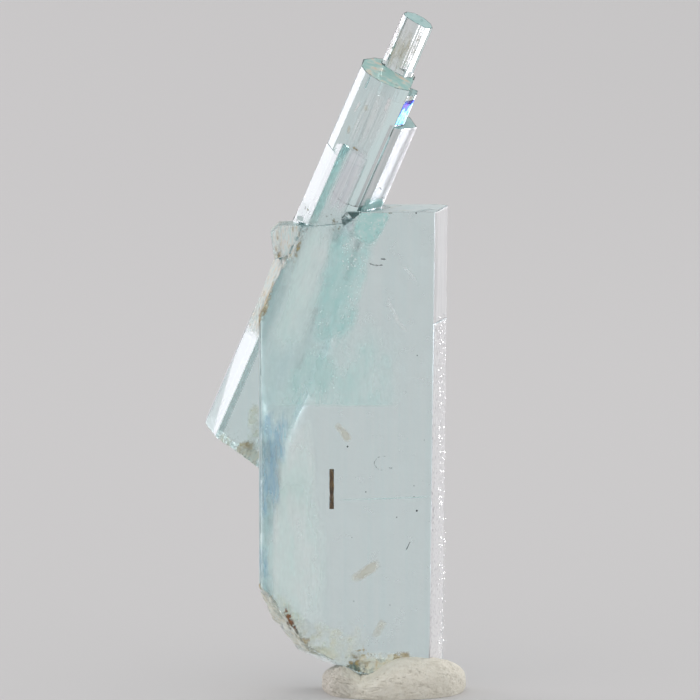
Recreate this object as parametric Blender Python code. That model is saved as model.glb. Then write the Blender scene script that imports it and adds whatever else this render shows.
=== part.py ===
"""Aquamarine specimen on display putty, modelled in metres with +Z up.

A flat tabular crystal stands upright. A stepped bundle of thinner prisms, all parallel to
each other, has grown through its upper left corner and leans to the right and forwards.
The two crystals overlap, so they are one solid. The foot of the slab is pressed into a
loose pat of putty, whose flat underside is the surface that the specimen rests on.
The origin is the middle of that underside.
"""

import math

import bmesh
import bpy
from mathutils import Matrix, Vector, noise

MM = 0.001

# The slab: a tabular prism, wide and thin.
SLAB_LEFT = -10.25 * MM
SLAB_RIGHT = 3.05 * MM
SLAB_FRONT = -1.80 * MM
SLAB_DEPTH = 4.50 * MM
SLAB_FOOT = 1.00 * MM
SLAB_TOP = 37.10 * MM
SLAB_LEAN = math.radians(1.5)  # the top leans forwards
SIDE_FACE_REACH = 1.06 * MM  # how far the narrow right face stands out of the front face
SIDE_BEVEL = 0.22 * MM
RIGHT_TAPER = 0.40 * MM  # the right side draws in by this much at the foot
LEFT_BEVEL = 0.16 * MM

# The bundle of prisms, in its own frame: X to its right, Y to its back, Z along its length.
BUNDLE_PLACE = Vector((-7.58, -1.70, 36.22)) * MM
BUNDLE_FORWARD = math.radians(14.7)
BUNDLE_RIGHT = math.radians(22.2)
BUNDLE_TURN = math.radians(-8.5)
BUNDLE_FOOT = -20.6 * MM
MAIN_TOP = 13.02 * MM
TIP_TOP = 17.25 * MM
RIGHT_TOP = 9.90 * MM
SLIVER_TOP = 12.50 * MM
LAYER_TOP = 7.30 * MM

# The pat of putty.
PUTTY_LEFT = -5.52 * MM
PUTTY_RIGHT = 5.32 * MM
PUTTY_FRONT = -4.60 * MM
PUTTY_BACK = 4.40 * MM
PUTTY_HEIGHT = 3.05 * MM
DIP_PLACE = -2.45 * MM
RIM_POWER = 0.72  # 1 gives a round rim, less a squarer one
BASE_CUT = 0.45  # share of the height that the flat underside takes off
POCKET_GAP = 0.30 * MM

FRACTURE_CELLS = 18  # cells along each side of a break's grid


def clear_scene():
    for thing in list(bpy.data.objects):
        bpy.data.objects.remove(thing, do_unlink=True)


def collection_for(name):
    group = bpy.data.collections.new(name)
    bpy.context.scene.collection.children.link(group)
    return group


def finish_material(name, colour, roughness, transmission=0.0):
    material = bpy.data.materials.new(name)
    material.use_nodes = True
    shader = material.node_tree.nodes["Principled BSDF"]
    shader.inputs["Base Color"].default_value = (*colour, 1.0)
    shader.inputs["Roughness"].default_value = roughness
    shader.inputs["Metallic"].default_value = 0.0
    shader.inputs["IOR"].default_value = 1.575
    shader.inputs["Transmission Weight"].default_value = transmission
    return material


def object_from(bm, name, group):
    mesh = bpy.data.meshes.new(name)
    bm.to_mesh(mesh)
    bm.free()
    made = bpy.data.objects.new(name, mesh)
    group.objects.link(made)
    return made


def as_cutter(thing):
    thing.hide_render = True
    thing.display_type = "WIRE"
    return thing


def column(outline, low, high):
    """A bmesh prism that stands on an outline of (x, y) corners."""
    bm = bmesh.new()
    corners = [bm.verts.new((x, y, low)) for x, y in outline]
    base = bm.faces.new(corners)
    raised = bmesh.ops.extrude_face_region(bm, geom=[base])["geom"]
    upper = [item for item in raised if isinstance(item, bmesh.types.BMVert)]
    bmesh.ops.translate(bm, verts=upper, vec=(0.0, 0.0, high - low))
    bmesh.ops.recalc_face_normals(bm, faces=bm.faces)
    return bm


def facing(direction):
    """The rotation that turns +Z to a direction."""
    return Vector(direction).normalized().to_track_quat("Z", "Y").to_matrix().to_4x4()


def fracture(name, group, place, outward, reach, depth, rough, ripple, shift):
    """A block whose inner face is a rough, rippled break. It takes away what lies outside."""
    bm = bmesh.new()
    bmesh.ops.create_grid(bm, x_segments=FRACTURE_CELLS, y_segments=FRACTURE_CELLS, size=reach)
    for vert in bm.verts:
        spot = vert.co / (1.6 * MM) + Vector((shift, shift * 0.7, 0.0))
        lumps = noise.noise(spot) + 0.45 * noise.noise(spot * 2.7)
        from_corner = (vert.co - Vector((-reach, reach, 0.0))).length
        rings = math.sin(from_corner / (0.55 * MM) + 2.0 * noise.noise(spot * 0.6))
        vert.co.z += rough * lumps + ripple * rings
    raised = bmesh.ops.extrude_face_region(bm, geom=list(bm.faces))["geom"]
    upper = [item for item in raised if isinstance(item, bmesh.types.BMVert)]
    for vert in upper:
        vert.co.z = depth
    bmesh.ops.recalc_face_normals(bm, faces=bm.faces)
    bm.transform(Matrix.Translation(Vector(place)) @ facing(outward))
    return as_cutter(object_from(bm, name, group))


def boolean(target, operation, other):
    step = target.modifiers.new(f"{operation.lower()} {other.name}", "BOOLEAN")
    step.operation = operation
    step.solver = "EXACT"
    step.object = other


def slab_outline(grow=0.0):
    """Corners of the slab's section, clockwise from the front left seen from above."""
    left = SLAB_LEFT - grow
    right = SLAB_RIGHT + grow
    front = SLAB_FRONT - grow
    back = SLAB_FRONT + SLAB_DEPTH + grow
    return [
        (left + LEFT_BEVEL, front),
        (left, front + 3.0 * LEFT_BEVEL),
        (left + 0.30 * MM, back - 1.3 * MM),
        (left + 1.05 * MM, back),
        (right + 0.45 * MM, back),
        (right + SIDE_FACE_REACH, back - 0.72 * MM),
        (right + SIDE_BEVEL, front + 1.9 * SIDE_BEVEL),
        (right, front),
    ]


def lean_slab(bm):
    """Draws the right side in towards the foot and leans the slab forwards."""
    for vert in bm.verts:
        if vert.co.x > 0.0:
            drop = (SLAB_TOP - vert.co.z) / (SLAB_TOP - SLAB_FOOT)
            vert.co.x -= RIGHT_TAPER * drop
    bm.transform(Matrix.Rotation(SLAB_LEAN, 4, "X"))


def lower_breaks(cutters, name_end="", grow=0.0):
    """The two breaks that take the slab's lower left corner and the foot away."""
    places = [
        ("break_lower_left", (-8.62, 0.10, 5.60), (-0.762, -0.262, -0.591), 6.0, 3.1),
        ("break_foot", (-5.05, 0.10, 2.40), (-0.42, -0.20, -0.88), 4.6, 8.4),
    ]
    made = []
    for name, place, outward, reach, shift in places:
        moved = Vector(place) * MM + Vector(outward).normalized() * grow
        made.append(fracture(
            name + name_end, cutters, place=moved, outward=outward, reach=reach * MM,
            depth=8.0 * MM, rough=0.20 * MM, ripple=0.035 * MM, shift=shift,
        ))
    return made


def upper_breaks(cutters):
    """The breaks round the place where the bundle leaves the slab."""
    places = [
        ("break_upper_left", (-9.30, -0.60, 31.70), (-0.896, -0.148, 0.418), 6.4, 14.7),
        ("break_shoulder", (-8.60, -0.60, 36.08), (-0.02, -0.05, 1.0), 5.1, 21.3),
        ("break_beside_bundle", (-2.55, -0.60, 36.50), (-0.62, -0.06, 0.78), 1.9, 27.9),
    ]
    return [
        fracture(
            name, cutters, place=Vector(place) * MM, outward=outward, reach=reach * MM,
            depth=4.0 * MM, rough=0.12 * MM, ripple=0.02 * MM, shift=shift,
        )
        for name, place, outward, reach, shift in places
    ]


def make_slab(group, cutters):
    bm = column(slab_outline(), SLAB_FOOT, SLAB_TOP)
    lean_slab(bm)
    slab = object_from(bm, "aquamarine_crystals", group)
    for broken in lower_breaks(cutters) + upper_breaks(cutters):
        boolean(slab, "DIFFERENCE", broken)
    return slab


def bundle_matrix():
    turned = (
        Matrix.Rotation(BUNDLE_FORWARD, 4, "X")
        @ Matrix.Rotation(BUNDLE_RIGHT, 4, "Y")
        @ Matrix.Rotation(BUNDLE_TURN, 4, "Z")
    )
    return Matrix.Translation(BUNDLE_PLACE) @ turned


def prism_outlines():
    """Section of each prism of the bundle, in mm, with its low and high end."""
    main = [
        (0.46, 0.66), (-0.04, 1.55), (-0.12, 3.20), (0.60, 4.60), (1.45, 5.35), (3.30, 5.50),
        (4.02, 4.20), (4.05, 0.70), (3.05, 0.02), (1.60, 0.00),
    ]
    tip = [
        (1.50, 3.90), (1.25, 4.38), (1.44, 5.10), (2.05, 5.56), (2.85, 5.36),
        (3.50, 4.75), (3.76, 3.88), (3.27, 3.26), (2.30, 3.52),
    ]
    right = [
        (3.90, 0.86), (3.70, 4.10), (4.86, 4.30), (5.66, 2.80), (4.66, 0.93),
    ]
    sliver = [(3.90, 0.80), (3.80, 3.00), (4.62, 3.10), (4.67, 2.08), (4.06, 0.86)]
    layer = [(1.19, -0.42), (0.02, 1.52), (0.80, 2.20), (3.30, 0.60), (3.22, -0.36)]
    root = [
        (1.19, -0.40), (0.00, 1.55), (0.00, 3.40), (0.90, 4.75), (5.20, 4.80),
        (6.20, 3.10), (5.05, 0.60), (3.40, -0.38),
    ]
    return {
        "prism_main": (main, BUNDLE_FOOT / MM, MAIN_TOP / MM),
        "prism_tip": (tip, MAIN_TOP / MM - 2.2, TIP_TOP / MM),
        "prism_right": (right, BUNDLE_FOOT / MM + 0.4, RIGHT_TOP / MM),
        "prism_sliver": (sliver, 4.0, SLIVER_TOP / MM),
        "prism_layer": (layer, -3.0, LAYER_TOP / MM),
        "prism_root": (root, BUNDLE_FOOT / MM - 0.3, -2.4),
    }


def make_bundle(slab, cutters):
    """Joins the prisms into one bundle, breaks its lower end off and joins it to the slab."""
    place = bundle_matrix()
    prisms = []
    for name, (outline, low, high) in prism_outlines().items():
        bm = column([(x * MM, y * MM) for x, y in outline], low * MM, high * MM)
        bm.transform(place)
        prisms.append(as_cutter(object_from(bm, name, cutters)))
    bundle = prisms[0]
    for prism in prisms[1:]:
        boolean(bundle, "UNION", prism)
    tear = place @ Vector((1.6 * MM, 1.8 * MM, -18.75 * MM))
    slope = place.to_3x3() @ Vector((-0.24, -0.12, -1.0))
    broken = fracture(
        "break_bundle_foot", cutters, place=tear, outward=slope,
        reach=5.6 * MM, depth=5.0 * MM, rough=0.22 * MM, ripple=0.05 * MM, shift=35.2,
    )
    boolean(bundle, "DIFFERENCE", broken)
    boolean(slab, "UNION", bundle)


def make_shoulder_chip(slab, cutters):
    """A small flat-topped splinter that juts out of the slab's upper left corner."""
    side_view = [(-9.35, 35.45), (-8.70, 36.02), (-6.90, 36.02), (-7.20, 34.0), (-9.05, 33.4)]
    bm = column([(x * MM, z * MM) for x, z in side_view], -0.35 * MM, 2.55 * MM)
    bm.transform(Matrix.Rotation(math.radians(90.0), 4, "X"))
    bmesh.ops.recalc_face_normals(bm, faces=bm.faces)
    boolean(slab, "UNION", as_cutter(object_from(bm, "shoulder_chip", cutters)))


def putty_height(x, y):
    """Height of the pat: a lower left lobe, a dip in the front lip, a long right lobe."""
    left_lobe = 1.0 / (1.0 + math.exp((x + 3.3 * MM) / (0.30 * MM)))
    in_front = 1.0 / (1.0 + math.exp((y + 0.6 * MM) / (0.35 * MM)))
    dip_reach = 1.05 * MM if x < DIP_PLACE else 1.90 * MM
    dip = math.exp(-(((x - DIP_PLACE) / dip_reach) ** 2)) * in_front
    return PUTTY_HEIGHT * (0.84 + 0.16 * in_front - 0.10 * left_lobe - 0.50 * dip)


def squared(value, power):
    return math.copysign(abs(value) ** power, value)


def make_putty(group, cutters):
    """A sphere pressed flat: a squarish rim, a flat underside and a lumpy top."""
    bm = bmesh.new()
    bmesh.ops.create_uvsphere(bm, u_segments=48, v_segments=24, radius=1.0)
    middle = Vector(((PUTTY_LEFT + PUTTY_RIGHT) / 2, (PUTTY_FRONT + PUTTY_BACK) / 2, 0.0))
    half_width = (PUTTY_RIGHT - PUTTY_LEFT) / 2
    half_depth = (PUTTY_BACK - PUTTY_FRONT) / 2
    for vert in bm.verts:
        around = math.atan2(vert.co.y, vert.co.x)
        swell = 1.0 + 0.03 * math.sin(3.0 * around + 0.7) + 0.012 * math.sin(7.0 * around)
        spread = squared(math.hypot(vert.co.x, vert.co.y), RIM_POWER) * swell
        x = middle.x + half_width * spread * squared(math.cos(around), 0.88)
        y = middle.y + half_depth * spread * squared(math.sin(around), 0.88)
        level = (1.0 + squared(vert.co.z, RIM_POWER)) / 2.0
        raised = max(0.0, level * (1.0 + BASE_CUT) - BASE_CUT)
        z = putty_height(x, y) * raised
        if z > 0.0:
            z += 0.13 * MM * raised * noise.noise(Vector((x, y, z)) / (1.3 * MM))
        vert.co = (x, y, z)
    bmesh.ops.recalc_face_normals(bm, faces=bm.faces)
    putty = object_from(bm, "display_putty", group)

    hollow = column(slab_outline(POCKET_GAP), SLAB_FOOT - POCKET_GAP, 6.0 * MM)
    lean_slab(hollow)
    pocket = as_cutter(object_from(hollow, "foot_pocket", cutters))
    for broken in lower_breaks(cutters, "_pocket", POCKET_GAP):
        boolean(pocket, "DIFFERENCE", broken)
    boolean(putty, "DIFFERENCE", pocket)
    return putty


def main():
    clear_scene()
    specimen = collection_for("aquamarine_crystal")
    cutters = collection_for("cutters")
    slab = make_slab(specimen, cutters)
    make_shoulder_chip(slab, cutters)
    make_bundle(slab, cutters)
    putty = make_putty(specimen, cutters)
    beryl = finish_material("aquamarine", (0.70, 0.86, 0.87), 0.05, transmission=1.0)
    slab.data.materials.append(beryl)
    clay = finish_material("putty", (0.58, 0.54, 0.45), 0.80)
    putty.data.materials.append(clay)


main()
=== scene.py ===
import math

import bmesh
import bpy
import numpy as np
from mathutils import Matrix, Vector, noise
from mathutils.bvhtree import BVHTree


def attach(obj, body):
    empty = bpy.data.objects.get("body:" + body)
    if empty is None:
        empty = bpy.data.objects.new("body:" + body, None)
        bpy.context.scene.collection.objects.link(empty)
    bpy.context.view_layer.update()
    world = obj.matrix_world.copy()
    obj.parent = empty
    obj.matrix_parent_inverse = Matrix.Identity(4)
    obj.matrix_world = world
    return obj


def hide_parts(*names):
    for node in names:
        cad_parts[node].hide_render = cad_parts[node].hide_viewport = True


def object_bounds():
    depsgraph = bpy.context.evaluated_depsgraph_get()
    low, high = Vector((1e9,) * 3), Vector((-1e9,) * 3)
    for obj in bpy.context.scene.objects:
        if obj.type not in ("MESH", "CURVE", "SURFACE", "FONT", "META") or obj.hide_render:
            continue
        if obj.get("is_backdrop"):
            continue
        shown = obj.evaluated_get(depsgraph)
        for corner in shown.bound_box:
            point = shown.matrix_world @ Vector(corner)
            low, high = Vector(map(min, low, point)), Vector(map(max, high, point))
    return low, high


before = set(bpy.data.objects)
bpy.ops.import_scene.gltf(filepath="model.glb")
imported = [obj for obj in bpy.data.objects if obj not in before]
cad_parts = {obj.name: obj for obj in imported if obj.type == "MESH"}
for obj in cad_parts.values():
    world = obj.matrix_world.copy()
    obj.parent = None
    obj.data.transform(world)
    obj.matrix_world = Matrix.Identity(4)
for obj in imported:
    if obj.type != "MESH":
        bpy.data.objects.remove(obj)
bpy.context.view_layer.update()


# ---------------------------------------------------------------------------------------
# The crystals: a thin tabular beryl with a bundle of stepped prisms grown through its
# corner. Clear pale blue-green beryl, grown in one piece. Its prism faces carry fine lines
# along their length, its ends are flatter, and the torn places are shell-shaped breaks.
MM = 0.001
SLAB_BOX = (-10.25, 3.05, -1.80, 2.70)  # left, right, front and back of the section, in mm
SLAB_FOOT = 1.00
SLAB_TOP = 37.10
SLAB_LEAN = math.radians(1.5)
RIGHT_TAPER = 0.40  # the right side draws in by this much at the foot
LEFT_BEVEL = 0.16
CHAMFER_WIDE, CHAMFER_DEEP = 0.22, 0.418  # between the front and the narrow right face
SIDE_REACH = 1.06  # how far the narrow right face stands out of the front's edge
BACK_BEVEL = 0.72
BUNDLE_PLACE = Vector((-7.58, -1.70, 36.22)) * MM
BUNDLE_ANGLES = (math.radians(14.7), math.radians(22.2), math.radians(-8.5))
ETCH_FOOT, ETCH_TOP = 3.0, 29.5  # the etched part of the narrow right face
ETCH_CELL = 0.085
BREAK_CELLS = 110  # cells along each side of a break's grid
LINE_SPACING = 0.09  # between the points round a prism
EDGE_ROUNDING = 0.035
BERYL_IOR = 1.575
SATIN_BEHIND = 0.50  # roughness of what stands out behind the slab
FROST_LEFT = 0.30  # roughness of the slab's front beside its left edge
FROST_BEFORE = 0.34  # roughness of the slab's front where the bundle runs behind it
SURFACES = {  # roughness and bump strength
    "prism_face": (0.012, 0.012), "fracture": (0.22, 0.55), "etched_face": (0.30, 0.80),
    "end_face": (0.10, 0.45), "satin_back": (0.42, 0.50), "lined_face": (0.32, 0.06),
}
PRISM_FACE, FRACTURE, ETCHED, END_FACE, SATIN, LINED = range(len(SURFACES))


def plain_mesh(thing):
    """The mesh that an object's modifiers give, as a mesh of its own."""
    graph = bpy.context.evaluated_depsgraph_get()
    graph.update()
    return bpy.data.meshes.new_from_object(thing.evaluated_get(graph))


def settled(thing):
    """Replaces an object's modifiers by the mesh they give."""
    mesh = plain_mesh(thing)
    thing.modifiers.clear()
    thing.data = mesh
    return thing


def add_object(name, mesh):
    made = bpy.data.objects.new(name, mesh)
    bpy.context.scene.collection.objects.link(made)
    return made


def object_from(bm, name):
    mesh = bpy.data.meshes.new(name)
    bm.to_mesh(mesh)
    bm.free()
    return add_object(name, mesh)


def node_group(name, inputs):
    """A Geometry Nodes tree with a Geometry input and the named extra inputs."""
    tree = bpy.data.node_groups.new(name, "GeometryNodeTree")
    tree.interface.new_socket("Geometry", in_out="INPUT", socket_type="NodeSocketGeometry")
    for label, kind in inputs:
        tree.interface.new_socket(label, in_out="INPUT", socket_type="NodeSocket" + kind)
    tree.interface.new_socket("Geometry", in_out="OUTPUT", socket_type="NodeSocketGeometry")
    return tree, tree.nodes.new("NodeGroupInput"), tree.nodes.new("NodeGroupOutput")


def add_node(tree, kind, values=None, **settings):
    """Adds a node. A value is set on a socket, or linked to it if it is a socket itself."""
    node = tree.nodes.new(kind)
    for key, value in settings.items():
        setattr(node, key, value)
    for key, value in (values or {}).items():
        if isinstance(value, bpy.types.NodeSocket):
            tree.links.new(value, node.inputs[key])
        else:
            node.inputs[key].default_value = value
    return node


def maths(tree, operation, *values):
    """The result of a Math node on two or three numbers or sockets."""
    return add_node(tree, "ShaderNodeMath", dict(enumerate(values)),
                    operation=operation).outputs[0]


def vector_maths(tree, operation, first, other):
    """The result of a Vector Math node on a vector and another one, or a number to scale by."""
    key = "Scale" if operation == "SCALE" else 1
    node = add_node(tree, "ShaderNodeVectorMath", {0: first, key: other}, operation=operation)
    return node.outputs["Value" if operation == "DOT_PRODUCT" else "Vector"]


def finish_tree(tree, geometry, given, out):
    """Ends a tree: instances are made real and all gets the material called Finish."""
    real = add_node(tree, "GeometryNodeRealizeInstances", {"Geometry": geometry})
    finish = add_node(tree, "GeometryNodeSetMaterial", {
        "Geometry": real.outputs[0], "Material": given.outputs["Finish"],
    })
    tree.links.new(finish.outputs[0], out.inputs[0])
    return tree


def grown(thing, tree, values):
    """Runs a Geometry Nodes tree on an object with named inputs and keeps its mesh."""
    step = thing.modifiers.new(tree.name, "NODES")
    step.node_group = tree
    for item in tree.interface.items_tree:
        if item.in_out == "INPUT" and item.name in values:
            step[item.identifier] = values[item.name]
    return settled(thing)


def growth_column_tree():
    """Outline to prism: a lined, faceted column of the given length."""
    tree, given, out = node_group("growth column", [
        ("Length", "Float"), ("Edge rounding", "Float"), ("Line spacing", "Float"),
        ("Line depth", "Float"), ("Line width", "Float"), ("Seed", "Float"),
        ("Finish", "Material"),
    ])
    outline = add_node(tree, "GeometryNodeMeshToCurve", {"Mesh": given.outputs["Geometry"]})
    rounded = add_node(tree, "GeometryNodeFilletCurve", {
        "Curve": outline.outputs[0], "Radius": given.outputs["Edge rounding"],
        "Limit Radius": True, "Count": 2,
    }, mode="POLY")
    even = add_node(tree, "GeometryNodeResampleCurve", {
        "Curve": rounded.outputs[0], "Length": given.outputs["Line spacing"],
    }, mode="LENGTH")
    place = add_node(tree, "GeometryNodeInputPosition").outputs[0]
    lines = add_node(tree, "ShaderNodeTexNoise", {
        "Vector": place, "W": given.outputs["Seed"],
        "Scale": maths(tree, "DIVIDE", 1.0, given.outputs["Line width"]),
        "Detail": 3.0, "Roughness": 0.62,
    }, noise_dimensions="4D").outputs[0]
    centred = maths(tree, "SUBTRACT", lines, 0.5)
    deep = maths(tree, "MULTIPLY", centred, given.outputs["Line depth"])
    tangent = add_node(tree, "GeometryNodeInputTangent").outputs[0]
    outward = vector_maths(tree, "CROSS_PRODUCT", tangent, (0.0, 0.0, 1.0))
    lined = add_node(tree, "GeometryNodeSetPosition", {
        "Geometry": even.outputs[0], "Offset": vector_maths(tree, "SCALE", outward, deep),
    })
    base = add_node(tree, "GeometryNodeFillCurve", {"Curve": lined.outputs[0]}, mode="NGONS")
    raised = add_node(tree, "GeometryNodeExtrudeMesh", {
        "Mesh": base.outputs[0], "Offset": (0.0, 0.0, 1.0),
        "Offset Scale": given.outputs["Length"], "Individual": False,
    }, mode="FACES")
    under = add_node(tree, "GeometryNodeFlipFaces", {"Mesh": base.outputs[0]})
    both = add_node(tree, "GeometryNodeJoinGeometry")
    tree.links.new(raised.outputs["Mesh"], both.inputs[0])
    tree.links.new(under.outputs[0], both.inputs[0])
    closed = add_node(tree, "GeometryNodeMergeByDistance", {
        "Geometry": both.outputs[0], "Distance": 1e-7,
    })
    return finish_tree(tree, closed.outputs[0], given, out)


marks = [bpy.data.materials.new(surface) for surface in SURFACES]
column_tree = growth_column_tree()


def marked(thing, mark_of):
    """Marks each face with the surface that `mark_of` gives for it."""
    thing.data.materials.clear()
    for mark in marks:
        thing.data.materials.append(mark)
    for face in thing.data.polygons:
        face.material_index = mark_of(face)
    return thing


def column(name, outline, low, high, seed, depth=0.012, width=0.45, place=None):
    """One grown prism on an outline of (x, y) corners in mm."""
    bm = bmesh.new()
    ring = [bm.verts.new((x * MM, y * MM, 0.0)) for x, y in outline]
    for first, second in zip(ring, ring[1:] + ring[:1]):
        bm.edges.new((first, second))
    made = grown(object_from(bm, name), column_tree, {
        "Length": (high - low) * MM, "Edge rounding": EDGE_ROUNDING * MM,
        "Line spacing": LINE_SPACING * MM, "Line depth": depth * MM, "Line width": width * MM,
        "Seed": seed, "Finish": marks[PRISM_FACE],
    })
    marked(made, lambda face: END_FACE if abs(face.normal.z) > 0.9 else PRISM_FACE)
    made.data.transform(Matrix.Translation((0.0, 0.0, low * MM)))
    if place is not None:
        made.data.transform(place)
    return made


def fractal(spot, octaves):
    """Noise with finer and fainter noise on top of it."""
    total = 0.0
    size = 1.0
    for _ in range(octaves):
        total += size * noise.noise(spot)
        spot = spot * 2.13 + Vector((7.3, 1.9, 4.1))
        size *= 0.5
    return total


def fracture(name, place, outward, reach, depth, rough, ripple, shift):
    """A block whose inner face is a shell-shaped break; it takes away what lies outside."""
    reach *= MM
    bm = bmesh.new()
    bmesh.ops.create_grid(bm, x_segments=BREAK_CELLS, y_segments=BREAK_CELLS, size=reach)
    for vert in bm.verts:
        spot = vert.co / (1.6 * MM) + Vector((shift, shift * 0.7, 0.0))
        lumps = noise.noise(spot) + 0.45 * noise.noise(spot * 2.7)
        fine = fractal(spot * 5.0, 3)
        from_corner = (vert.co - Vector((-reach, reach, 0.0))).length
        phase = from_corner / (0.55 * MM) + 2.0 * noise.noise(spot * 0.6)
        vert.co.z += rough * lumps * MM + ripple * math.sin(phase) * MM
        vert.co.z += 0.16 * rough * fine * MM + 0.25 * ripple * math.sin(phase * 3.1) * MM
    raised = bmesh.ops.extrude_face_region(bm, geom=list(bm.faces))["geom"]
    for item in raised:
        if isinstance(item, bmesh.types.BMVert):
            item.co.z = depth * MM
    bmesh.ops.recalc_face_normals(bm, faces=bm.faces)
    turn = Vector(outward).normalized().to_track_quat("Z", "Y").to_matrix().to_4x4()
    bm.transform(Matrix.Translation(Vector(place) * MM) @ turn)
    return marked(object_from(bm, name), lambda face: FRACTURE)


def joined(target, steps):
    """Applies boolean steps, in order, and removes the meshes they used."""
    for operation, other in steps:
        step = target.modifiers.new(operation, "BOOLEAN")
        step.operation = operation
        step.solver = "MANIFOLD"
        step.material_mode = "TRANSFER"
        step.object = other
    settled(target)
    for _, other in steps:
        bpy.data.objects.remove(other, do_unlink=True)
    return target


def slab_outline(grow=0.0):
    """The slab's section in mm, clockwise from the front left seen from above."""
    left, right, front, back = SLAB_BOX
    left, right, front, back = left - grow, right + grow, front - grow, back + grow
    return [
        (left + LEFT_BEVEL, front), (left, front + 0.48), (left + 0.30, back - 1.3),
        (left + 1.05, back), (right + 0.45, back), (right + SIDE_REACH, back - BACK_BEVEL),
        (right + CHAMFER_WIDE, front + CHAMFER_DEEP), (right, front),
    ]


def lean_slab(mesh):
    """Draws the right side in towards the foot and leans the slab forwards."""
    for vert in mesh.vertices:
        drop = (SLAB_TOP - vert.co.z / MM) / (SLAB_TOP - SLAB_FOOT)
        share = min(1.0, max(0.0, vert.co.x / MM / 2.4 + 0.1))
        vert.co.x -= RIGHT_TAPER * MM * drop * share
    mesh.transform(Matrix.Rotation(SLAB_LEAN, 4, "X"))


def lower_breaks(grow=0.0):
    """The two breaks that took the lower left corner and the foot away."""
    places = [
        ((-8.62, 0.10, 5.60), (-0.762, -0.262, -0.591), 6.0, 3.1),
        ((-5.05, 0.10, 2.40), (-0.42, -0.20, -0.88), 4.6, 8.4),
    ]
    return [
        fracture("lower_break", Vector(place) + Vector(outward).normalized() * grow,
                 outward, reach, 8.0, 0.20, 0.035, shift)
        for place, outward, reach, shift in places
    ]


def upper_breaks():
    """The breaks on the upper left edge, on the shoulder and beside the bundle."""
    places = [
        ((-9.30, -0.60, 31.70), (-0.896, -0.148, 0.418), 6.4, 14.7),
        ((-8.60, -0.60, 36.08), (-0.02, -0.05, 1.0), 5.1, 21.3),
        ((-3.10, -1.20, 36.55), (-0.62, -0.06, 0.78), 0.95, 27.9),
    ]
    return [
        fracture("upper_break", place, outward, reach, 4.0, 0.12, 0.02, shift)
        for place, outward, reach, shift in places
    ]


def etch_block():
    """Takes the skin off the lower part of the narrow right face, leaving etch pits."""
    _, right, front, back = SLAB_BOX
    near = Vector((right + CHAMFER_WIDE, front + CHAMFER_DEEP, 0.0))
    far = Vector((right + SIDE_REACH, back - BACK_BEVEL, 0.0))
    along = (far - near).normalized()
    outward = along.cross(Vector((0.0, 0.0, 1.0)))
    wide, tall = (far - near).length + 0.5, ETCH_TOP - ETCH_FOOT
    across, up = int(wide / ETCH_CELL), int(tall / ETCH_CELL)
    bm = bmesh.new()
    bmesh.ops.create_grid(bm, x_segments=across, y_segments=up, size=0.5)
    for vert in bm.verts:
        side = (vert.co.x + 0.5) * wide - 0.25
        height = ETCH_FOOT + (vert.co.y + 0.5) * tall
        spot = Vector((side * 2.4, height * 1.5, 5.0))
        rough = max(0.0, 0.35 + noise.noise(spot * 0.5))
        pit = abs(fractal(Vector((side * 5.5, height * 3.4, 9.0)), 3)) * rough
        fade = min(1.0, (ETCH_TOP - height) / 1.2)
        inward = -0.012 + 0.075 * pit * fade - 0.02 * (1.0 - fade)
        vert.co = (near + along * side - outward * inward) * MM + Vector((0, 0, height * MM))
    raised = bmesh.ops.extrude_face_region(bm, geom=list(bm.faces))["geom"]
    for item in raised:
        if isinstance(item, bmesh.types.BMVert):
            item.co += outward * MM
    bmesh.ops.recalc_face_normals(bm, faces=bm.faces)
    made = object_from(bm, "etch")
    lean_slab(made.data)
    return marked(made, lambda face: ETCHED)


def bundle_matrix():
    """The bundle's own frame: X to its right, Y to its back, Z along its length."""
    forward, right, turn = BUNDLE_ANGLES
    turned = (
        Matrix.Rotation(forward, 4, "X") @ Matrix.Rotation(right, 4, "Y")
        @ Matrix.Rotation(turn, 4, "Z")
    )
    return Matrix.Translation(BUNDLE_PLACE) @ turned


def root_shoulder(x, y, z):
    """The root eases into the main prism instead of ending in a ledge."""
    share = 0.45 if z > -5.0 else 0.0
    return x + (2.2 - x) * share, y + (2.6 - y) * share, z


def layer_end(x, y, z):
    """The front layer's end is a slant that comes to a point beside its left face."""
    if z < 6.8:
        return x, y, z
    fall = 0.95 * (1.06 - x) if x < 1.06 else 0.22 * (x - 1.06)
    return x, y + 0.34, z - fall


def reshaped(thing, change):
    """Moves a prism's points, given and returned in mm in the bundle's own frame."""
    inward = bundle_place.inverted()
    for vert in thing.data.vertices:
        spot = (inward @ vert.co) / MM
        vert.co = bundle_place @ (Vector(change(*spot)) * MM)


bundle_place = bundle_matrix()


def bundle_way(across, behind, along):
    """A direction given in the bundle's own frame."""
    return bundle_place.to_3x3() @ Vector((across, behind, along))


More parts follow.
